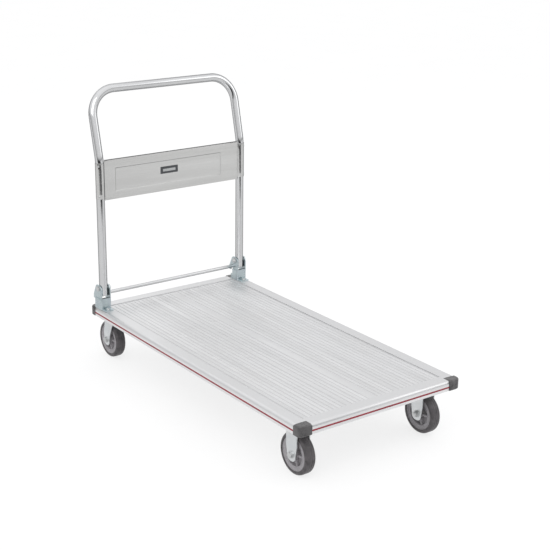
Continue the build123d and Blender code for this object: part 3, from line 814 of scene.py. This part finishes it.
@dataclass
class Castor:
    """A castor: its fork, axle set and wheel, and on a swivel castor the plate, pin and balls."""

    end: str
    side: Side
    leg_face: float = 24.5 * MM
    washer: float = 1.6 * MM
    axle: HexFastener = HexFastener(18 * MM, 7 * MM, 6 * MM, 1.75 * MM)

    def build(self) -> None:
        """Build and dress every piece of the castor."""
        key = f"{self.end}_{self.side.word}"
        body = f"{key}_swivel" if self.end == "rear" else "root"
        Wheel(self.end, self.side).build()
        dress(f"{key}_fork", CASTOR_ZINC, 0.6 * MM)
        if self.end == "rear":
            dress(f"{key}_top_plate", CASTOR_ZINC, 0.6 * MM)
            dress(f"{key}_kingpin", FASTENER_ZINC, 0.6 * MM)
            dress(f"{key}_swivel_balls", SPRING_STEEL)
        self.axle_set(key, body)

    def axle_set(self, key: str, body: str) -> None:
        """Axle bolt with chamfered head, washers and lock nut.

        Args:
            key: The castor's name inside node names.
            body: The body that carries the axle.
        """
        centre = middle(f"{key}_tyre")
        out = Vector((self.side.value, 0, 0))
        mesh = bmesh.new()
        head_seat = centre + out * (self.leg_face + self.washer)
        nut_seat = centre - out * (self.leg_face + self.washer)
        self.axle.washer(mesh, centre + out * self.leg_face, out, 11.5 * MM, self.washer)
        self.axle.washer(mesh, centre - out * self.leg_face, -out, 11.5 * MM, self.washer)
        self.axle.bolt(mesh, head_seat, out, 2 * self.leg_face + self.washer + 12 * MM)
        self.axle.nut(mesh, nut_seat, -out)
        finish_piece(f"{key}_axle_set", mesh, [FASTENER_ZINC], body, [f"{key}_axle"], sharp=25)


# ------------------------------------------------------------------ handle
@dataclass
class Handle:
    """The bent tube, its panel, rivets, label plate, plugs and bushes."""

    tube: float = 14.3 * MM
    wall: float = 1.5 * MM
    knee: float = 120 * MM
    corner: float = 88.9 * MM
    lean: float = 13.56
    around: int = 40
    wrap: float = 15.6 * MM
    wrap_turn: float = 172.0
    wrap_from_low: float = 8.1 * MM
    wrap_from_high: float = 6.9 * MM
    panel_ahead: float = 6 * MM
    fold: float = 7 * MM
    fold_end: float = 18 * MM
    tray_x: tuple[float, float] = (-228 * MM, 199 * MM)
    tray_from_low: float = 26.5 * MM
    tray_from_high: float = 30.5 * MM
    tray_depth: float = 2.5 * MM

    def build(self) -> None:
        """Read the places from the frame and build every piece."""
        low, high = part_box("handle_tube")
        self.leg_x = high.x - self.tube
        self.leg_y = low.y + self.tube
        self.foot = low.z
        self.grip_z = high.z - self.tube
        self.grip_y = high.y - self.tube
        self.knee_z = self.grip_z - (self.grip_y - self.leg_y) / tan(radians(self.lean))
        self.bend_tube()
        self.panel()
        self.rivets()
        self.label()
        dress("handle_end_plugs", PLUG_PLASTIC)
        dress("handle_pivot_bushes", FASTENER_ZINC)

    def bend_tube(self) -> None:
        """Sweep the right half of the tube by extruding and spinning one ring, then mirror it."""
        mesh = bmesh.new()
        ring = bmesh.ops.create_circle(mesh, cap_ends=False, segments=self.around, radius=self.tube)["verts"]
        bmesh.ops.translate(mesh, vec=(self.leg_x, self.leg_y, self.foot), verts=ring)
        lean = radians(self.lean)
        reach = self.knee * tan(lean / 2)
        slope = Vector((0, sin(lean), cos(lean)))
        edges = list(mesh.edges)
        edges = self.straight(mesh, edges, Vector((0, 0, self.knee_z - reach - self.foot)), 4)
        edges = self.bend(mesh, edges, Vector((self.leg_x, self.leg_y + self.knee, self.knee_z - reach)),
                          Vector((-1, 0, 0)), lean, 8)
        run = (self.grip_z - self.knee_z) / cos(lean) - reach - self.corner
        edges = self.straight(mesh, edges, slope * run, 2)
        start = Vector((self.leg_x, self.leg_y, self.knee_z)) + slope * (reach + run)
        edges = self.bend(mesh, edges, start - Vector((self.corner, 0, 0)),
                          Vector((0, -cos(lean), sin(lean))), pi / 2, 20)
        edges = self.straight(mesh, edges, Vector((-(self.leg_x - self.corner), 0, 0)), 2)
        half = mesh.verts[:] + mesh.edges[:] + mesh.faces[:]
        bmesh.ops.mirror(mesh, geom=half, axis="X", merge_dist=1e-5)
        bmesh.ops.remove_doubles(mesh, verts=mesh.verts, dist=1e-5)
        bmesh.ops.recalc_face_normals(mesh, faces=mesh.faces)
        bmesh.ops.solidify(mesh, geom=mesh.faces[:], thickness=self.wall)
        finish_piece("handle_bent_tube", mesh, [CHROME], "handle", ["handle_tube"], sharp=50)

    @staticmethod
    def straight(mesh: BMesh, edges: list, step: Vector, parts: int) -> list:
        """Extrude a ring of edges along a straight run.

        Args:
            mesh: The mesh.
            edges: The ring.
            step: The whole run.
            parts: How many lengths the run is made of.

        Returns:
            The ring at the run's end.
        """
        for _ in range(parts):
            made = bmesh.ops.extrude_edge_only(mesh, edges=edges)["geom"]
            fresh = [g for g in made if isinstance(g, BMVert)]
            bmesh.ops.translate(mesh, vec=step / parts, verts=fresh)
            edges = [edge for edge in edges_of(made) if len(edge.link_faces) == 1]
        return edges

    @staticmethod
    def bend(mesh: BMesh, edges: list, centre: Vector, axis: Vector, angle: float,
             steps: int) -> list:
        """Spin a row of edges about a bend's centre.

        Args:
            mesh: The mesh.
            edges: The row or ring of edges.
            centre: A point on the bend's axis.
            axis: The axis' direction.
            angle: How far the bend turns.
            steps: How many steps the bend has.

        Returns:
            The edges at the bend's end.
        """
        made = bmesh.ops.spin(mesh, geom=edges, cent=centre, axis=axis, dvec=(0, 0, 0), angle=angle,
                              steps=steps, use_duplicate=False)["geom_last"]
        return edges_of(made)

    def panel(self) -> None:
        """Pressed sheet: a tray in the middle, folded long edges, and ends wrapped round the legs."""
        low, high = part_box("handle_panel")
        front = self.leg_y - self.panel_ahead
        end = self.leg_x - (self.wrap ** 2 - self.panel_ahead ** 2) ** 0.5
        wrap_z = (low.z + self.wrap_from_low, high.z - self.wrap_from_high)
        tray_z = (low.z + self.tray_from_low, high.z - self.tray_from_high)
        mesh = bmesh.new()
        bmesh.ops.create_grid(mesh, x_segments=1, y_segments=1, size=0.5)
        place = Matrix.Translation((0, front, (low.z + high.z) / 2)) @ Matrix.Rotation(pi / 2, 4, "X") @ (
            Matrix.Diagonal((2 * end, high.z - low.z, 1, 1)))
        bmesh.ops.transform(mesh, matrix=place, verts=mesh.verts)
        fold_x = self.leg_x - self.fold_end
        cuts = [(Axis.X, x) for x in (*self.tray_x, -fold_x, fold_x)]
        cuts += [(Axis.Z, z) for z in (*tray_z, *wrap_z)]
        for axis, at in cuts:
            cut(mesh, axis, at)
        bmesh.ops.recalc_face_normals(mesh, faces=mesh.faces)
        if mesh.faces[0].normal.y > 0:
            bmesh.ops.reverse_faces(mesh, faces=mesh.faces)
        floor = [face for face in mesh.faces
                 if self.tray_x[0] < face.calc_center_median().x < self.tray_x[1]
                 and tray_z[0] < face.calc_center_median().z < tray_z[1]]
        bmesh.ops.inset_region(mesh, faces=floor, thickness=2.0 * MM, depth=-self.tray_depth,
                               use_even_offset=True)
        self.fold_edges(mesh, low.z, high.z)
        for side in Side:
            self.curl(mesh, side, end, *wrap_z)
        sheet = finish_piece("handle_pressed_panel", mesh, [PANEL_STEEL], "handle", ["handle_panel"],
                             sharp=30)
        wall = sheet.modifiers.new("sheet", "SOLIDIFY")
        wall.thickness = 1.15 * MM
        wall.offset = -1.0
        round_edges(sheet, 0.5 * MM, 3, 25)

    def fold_edges(self, mesh: BMesh, low: float, high: float) -> None:
        """Fold the long edges back between the legs.

        Args:
            mesh: The panel's mesh.
            low: Height of the lower edge.
            high: Height of the upper edge.
        """
        inner = self.leg_x - self.fold_end + MM
        for height in (low, high):
            rim = [e for e in mesh.edges
                   if all(abs(v.co.z - height) < NEAR and abs(v.co.x) < inner for v in e.verts)]
            self.straight(mesh, rim, Vector((0, self.fold, 0)), 1)

    def curl(self, mesh: BMesh, side: Side, end: float, low: float, high: float) -> None:
        """Wrap one end of the sheet round the front of its leg.

        Args:
            mesh: The panel's mesh.
            side: Which end.
            end: Half the width of the flat sheet.
            low: Lower edge of the wrapped part.
            high: Upper edge of the wrapped part.
        """
        rim = [e for e in mesh.edges
               if all(abs(v.co.x - side.value * end) < NEAR and low - NEAR < v.co.z < high + NEAR
                      for v in e.verts)]
        self.bend(mesh, rim, Vector((side.value * self.leg_x, self.leg_y, 0)), Vector((0, 0, side.value)),
                  radians(self.wrap_turn), 20)

    def rivets(self) -> None:
        """Domed rivet heads on the curled ends."""
        low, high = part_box("panel_rivets")
        mesh = bmesh.new()
        reach = self.tube + 1.35 * MM
        for side in Side:
            for height in (low.z + 3.6 * MM, high.z - 3.6 * MM):
                angle = radians(-90 + side.value * 42)
                out = Vector((cos(angle), sin(angle), 0))
                seat = Vector((side.value * self.leg_x, self.leg_y, height)) + out * reach
                dome = [(-2 * MM, 1.9 * MM), (0.0, 1.9 * MM), (0.0, 3.6 * MM), (0.3 * MM, 3.5 * MM),
                        (0.9 * MM, 2.8 * MM), (1.3 * MM, 1.6 * MM), (1.3 * MM, 0.9 * MM),
                        (0.9 * MM, 0.7 * MM), (0.9 * MM, 0.0)]
                turned(mesh, lambda: ring_profile(mesh, dome, Vector(), 24, closed=False),
                       facing(seat, out))
        finish_piece("panel_rivet_heads", mesh, [FASTENER_ZINC], "handle", ["panel_rivets"], sharp=30)

    def label(self) -> None:
        """Plain plate with a raised rim and one blank pale field."""
        low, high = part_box("label_plate")
        size = high - low
        mesh = bmesh.new()
        block(mesh, (low + high) / 2, size)
        upright = [e for e in mesh.edges if abs(e.verts[0].co.y - e.verts[1].co.y) > 1e-5]
        soften(mesh, upright, 1.5 * MM, 3)
        face = min(mesh.faces, key=lambda f: f.calc_center_median().y)
        bmesh.ops.inset_region(mesh, faces=[face], thickness=1.6 * MM, depth=0.0)
        bmesh.ops.inset_region(mesh, faces=[face], thickness=0.3 * MM, depth=-0.2 * MM)
        field_x = [low.x + size.x * share for share in (0.14, 0.86)]
        field_z = [low.z + size.z * share for share in (0.30, 0.66)]
        for axis, at in [(Axis.Z, z) for z in field_z] + [(Axis.X, x) for x in field_x]:
            cut(mesh, axis, at)
        for flat in mesh.faces:
            spot = flat.calc_center_median()
            inside = field_x[0] < spot.x < field_x[1] and field_z[0] < spot.z < field_z[1]
            if inside and flat.normal.y < -0.9:
                flat.material_index = 1
        finish_piece("label_blank_plate", mesh, [LABEL_FACE, LABEL_FIELD], "handle", ["label_plate"],
                     sharp=30)


# ------------------------------------------------------------------ deck and brackets
@dataclass
class Deck:
    """Planks, rails, strips, caps, cross-members and their fasteners."""

    bolt_across: float = 33 * MM
    bolt_along: float = 22 * MM
    rail_floor: float = 2.2 * MM
    member_sheet: float = 2.5 * MM
    plate_sheet: float = 3.5 * MM
    rail_reach: float = 14 * MM
    castor_bolt: HexFastener = HexFastener(13 * MM, 5.3 * MM, 4 * MM, 1.25 * MM)

    def build(self) -> None:
        """Dress the deck's CAD pieces and build its fasteners."""
        for node in ("plank_left_edge", "plank_left", "plank_right", "plank_right_edge"):
            dress(node, PLANKS, 0.25 * MM)
        for end in ("left", "right", "front", "rear"):
            dress(f"rail_{end}", RAILS, 0.5 * MM)
            dress(f"strip_{end}", RED_STRIP)
        for node in ("crossmember_front", "crossmember_middle", "crossmember_rear"):
            dress(node, MEMBER_PAINT, 0.5 * MM)
        for end in ("front", "rear"):
            for side in Side:
                dress(f"corner_cap_{end}_{side.word}", CAP_PLASTIC, 0.8 * MM)
        dress("crossmember_rivets", FASTENER_ZINC)
        self.castor_bolts()

    def castor_bolts(self) -> None:
        """Bolts and nuts that hold the four castor plates."""
        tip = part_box("castor_bolts")[0].z + 0.4 * MM
        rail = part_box("rail_left")[0].z
        plate = rail - self.plate_sheet
        mesh = bmesh.new()
        for node in ("front_left_fork", "front_right_fork", "rear_left_top_plate", "rear_right_top_plate"):
            centre = middle(node)
            for across in (-self.bolt_across, self.bolt_across):
                for along in (-self.bolt_along, self.bolt_along):
                    spot = Vector((centre.x + across, centre.y + along, 0))
                    outer = abs(spot.x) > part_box("rail_right")[0].x + self.rail_reach
                    seat = rail + (self.rail_floor if outer else self.member_sheet)
                    self.castor_bolt.bolt(mesh, spot + Vector((0, 0, seat)), Axis.Z.vector, seat - tip)
                    self.castor_bolt.nut(mesh, spot + Vector((0, 0, plate)), -Axis.Z.vector)
        finish_piece("castor_bolt_set", mesh, [FASTENER_ZINC], "root", ["castor_bolts"], sharp=25)


@dataclass
class Brackets:
    """Hinge brackets with their bolts, the release bar and its springs."""

    ears: float = 18 * MM
    bush_half: float = 14.7 * MM
    pivot_past_ears: float = 8.6 * MM
    foot_head: float = 5.3 * MM
    foot_grip: float = 5.2 * MM
    foot_inset: float = 6.5 * MM
    pivot: HexFastener = HexFastener(17 * MM, 6.4 * MM, 5 * MM, 1.5 * MM)
    foot: HexFastener = HexFastener(13 * MM, 5.3 * MM, 4 * MM, 1.25 * MM)
    wire: float = 0.7 * MM
    travel: float = 22 * MM

    def build(self) -> None:
        """Dress the brackets and the bar, and build the springs and bolts."""
        for side in Side:
            dress(f"bracket_{side.word}", BLUE_ZINC, 0.6 * MM)
        dress("release_bar", BAR_ZINC)
        self.springs()
        self.pivot_bolts()
        self.foot_bolts()

    def springs(self) -> None:
        """Compression spring under each end of the bar, with close end coils; the bar squeezes both."""
        low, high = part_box("return_springs")
        coil = (high.y - low.y) / 2 - self.wire
        height = high.z - low.z - 2 * self.wire
        close = 2.1 * self.wire
        runs = ((1, close), (5, (height - 2 * close) / 5), (1, close))
        mesh = bmesh.new()
        for side in Side:
            leg = side.value * (high.x - coil - self.wire)
            foot = Vector((leg, (low.y + high.y) / 2, low.z + self.wire))
            ring = bmesh.ops.create_circle(mesh, cap_ends=True, segments=10, radius=self.wire)["verts"]
            upright = Matrix.Translation(foot + Axis.X.vector * coil) @ Matrix.Rotation(pi / 2, 4, "X")
            bmesh.ops.transform(mesh, matrix=upright, verts=ring)
            edges = list({edge for vert in ring for edge in vert.link_edges})
            for turns, pitch in runs:
                steps = turns * 24
                made = bmesh.ops.spin(mesh, geom=edges, cent=foot, axis=Axis.Z.vector,
                                      dvec=(0, 0, pitch * turns / steps), angle=2 * pi * turns,
                                      steps=steps, use_duplicate=False)["geom_last"]
                edges = edges_of(made)
            bmesh.ops.edgeloop_fill(mesh, edges=edges)
        pair = finish_piece("return_spring_pair", mesh, [SPRING_STEEL], "root", ["return_springs"], sharp=50)
        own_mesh(pair)

    def pivot_bolts(self) -> None:
        """Pivot bolt and lock nut through each bracket's ears."""
        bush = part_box("handle_pivot_bushes")
        height, depth = (bush[0].z + bush[1].z) / 2, (bush[0].y + bush[1].y) / 2
        mesh = bmesh.new()
        for side in Side:
            leg = side.value * (bush[1].x - self.bush_half)
            out = Vector((side.value, 0, 0))
            axis = Vector((leg, depth, height))
            self.pivot.bolt(mesh, axis + out * self.ears, out, 2 * self.ears + self.pivot_past_ears)
            self.pivot.nut(mesh, axis - out * self.ears, -out)
        finish_piece("pivot_bolt_set", mesh, [FASTENER_ZINC], "root", ["pivot_bolts"], sharp=25)

    def foot_bolts(self) -> None:
        """Bolts through the brackets' feet into nuts inside the side rails."""
        low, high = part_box("bracket_bolts")
        seat = high.z - self.foot_head
        mesh = bmesh.new()
        for side in Side:
            leg = side.value * (high.x - self.foot.flats / 3 ** 0.5)
            for along in (low.y + self.foot_inset, high.y - self.foot_inset):
                self.foot.bolt(mesh, Vector((leg, along, seat)), Axis.Z.vector, seat - low.z)
                self.foot.nut(mesh, Vector((leg, along, seat - self.foot_grip)), -Axis.Z.vector)
        finish_piece("bracket_bolt_set", mesh, [FASTENER_ZINC], "root", ["bracket_bolts"], sharp=25)


# ------------------------------------------------------------------ studio
@dataclass
class Studio:
    """Pale floor, soft lights and the camera."""

    azimuth: float = -36.50
    elevation: float = 18.62
    roll: float = 0.81
    distance: float = 4.3269
    target: tuple[float, float, float] = (0.2312, 0.2330, 0.3)
    lens: float = 81.17
    sky: tuple[tuple[float, float], ...] = ((0.0, 0.25), (0.16, 0.32), (0.24, 0.66), (0.42, 0.96), (1.0, 1.1))

    def build(self) -> None:
        """Build the whole studio."""
        self.camera()
        self.floor()
        self.world()
        self.lamp("key", (-2.6, -2.2, 3.4), 3.0, 46.0)
        self.lamp("fill", (3.0, -1.6, 2.2), 2.6, 16.0)
        self.lamp("back", (0.4, 3.4, 2.8), 3.0, 10.0)
        bpy.context.scene.view_settings.view_transform = "Standard"

    def camera(self) -> None:
        """Camera on the line from the target, turned by its roll."""
        turn, rise, roll = radians(self.azimuth), radians(self.elevation), radians(self.roll)
        back = Vector((sin(turn) * cos(rise), -cos(turn) * cos(rise), sin(rise)))
        right = Vector((cos(turn), sin(turn), 0))
        up = back.cross(right)
        right, up = right * cos(roll) + up * sin(roll), up * cos(roll) - right * sin(roll)
        data = bpy.data.cameras.new("camera")
        data.lens = self.lens
        data.sensor_width = 36.0
        camera = bpy.data.objects.new("camera", data)
        place = Vector(self.target) + back * self.distance
        camera.matrix_world = Matrix.Translation(place) @ Matrix((right, up, back)).transposed().to_4x4()
        bpy.context.scene.collection.objects.link(camera)
        bpy.context.scene.camera = camera

    def floor(self) -> None:
        """Wide pale floor."""
        mesh = bmesh.new()
        bmesh.ops.create_circle(mesh, cap_ends=True, segments=96, radius=26.0)
        data = bpy.data.meshes.new("floor")
        mesh.to_mesh(data)
        mesh.free()
        floor = bpy.data.objects.new("floor", data)
        bpy.context.scene.collection.objects.link(floor)
        made = bpy.data.materials.new("pale floor")
        made.use_nodes = True
        w = Wiring(made.node_tree)
        shade = w.spread(w.noise((3, 3, 3), 2.0), 0.3, 0.7, 0.0, 1.0)
        colour = w.blend(shade, (0.90, 0.90, 0.90, 1.0), (0.93, 0.93, 0.93, 1.0))
        shader = w.add("ShaderNodeBsdfPrincipled", {"Base Color": colour, "Roughness": 0.8})
        shader.inputs["Specular IOR Level"].default_value = 0.2
        lit = w.add("ShaderNodeEmission", {"Color": (1.0, 1.0, 1.0, 1.0), "Strength": 1.02})
        spot = w.add("ShaderNodeTexCoord").outputs["Object"]
        place = w.add("ShaderNodeSeparateXYZ", {0: spot}).outputs
        ahead = w.maths("MULTIPLY", w.spread(place["X"], 0.3, 0.8, 1.0, 0.0),
                        w.spread(place["Y"], -1.45, -1.25, 1.0, 0.0))
        mirrored = w.blend(ahead, (0.82, 0.82, 0.825, 1.0), (0.03, 0.03, 0.032, 1.0))
        dim = w.add("ShaderNodeEmission", {"Color": mirrored, "Strength": 1.0})
        path = w.add("ShaderNodeLightPath").outputs
        paper = w.mixed(0.75, shader.outputs[0], lit.outputs[0])
        seen = w.mixed(path["Is Camera Ray"], shader.outputs[0], paper)
        w.add("ShaderNodeOutputMaterial", {0: w.mixed(path["Is Glossy Ray"], seen, dim.outputs[0])})
        data.materials.append(made)

    def world(self) -> None:
        """White to the camera; in reflections, grey at the horizon and bright above."""
        world = bpy.data.worlds.new("studio")
        world.use_nodes = True
        bpy.context.scene.world = world
        w = Wiring(world.node_tree)
        way = w.add("ShaderNodeTexCoord").outputs["Generated"]
        height = w.add("ShaderNodeSeparateXYZ", {0: way}).outputs["Z"]
        sky = w.ramp(w.spread(height, -0.2, 1.0), self.sky, 1.01)
        direct = w.add("ShaderNodeBackground", {"Color": (1.0, 1.0, 1.0, 1.0), "Strength": 1.0})
        seen = w.add("ShaderNodeBackground", {"Color": sky, "Strength": 1.0})
        camera_ray = w.add("ShaderNodeLightPath").outputs["Is Camera Ray"]
        w.add("ShaderNodeOutputWorld", {0: w.mixed(camera_ray, seen.outputs[0], direct.outputs[0])})

    @staticmethod
    def lamp(name: str, place: tuple[float, float, float], size: float, power: float) -> None:
        """Square soft light aimed at the cart.

        Args:
            name: The lamp's name.
            place: Where it hangs.
            size: Length of its side.
            power: Its power in watts.
        """
        data = bpy.data.lights.new(name, "AREA")
        data.size = size
        data.energy = power
        lamp = bpy.data.objects.new(name, data)
        lamp.location = place
        aim = Vector((0.0, 0.1, 0.3)) - Vector(place)
        lamp.rotation_euler = aim.to_track_quat("-Z", "Y").to_euler()
        bpy.context.scene.collection.objects.link(lamp)


def main() -> None:
    """Build the studio and every sub-assembly of the cart, in order."""
    logging.basicConfig(level=logging.INFO, format="%(message)s")
    Studio().build()
    Deck().build()
    for end in ("front", "rear"):
        for side in Side:
            Castor(end, side).build()
    Brackets().build()
    Handle().build()


if __name__ == "__main__":
    main()
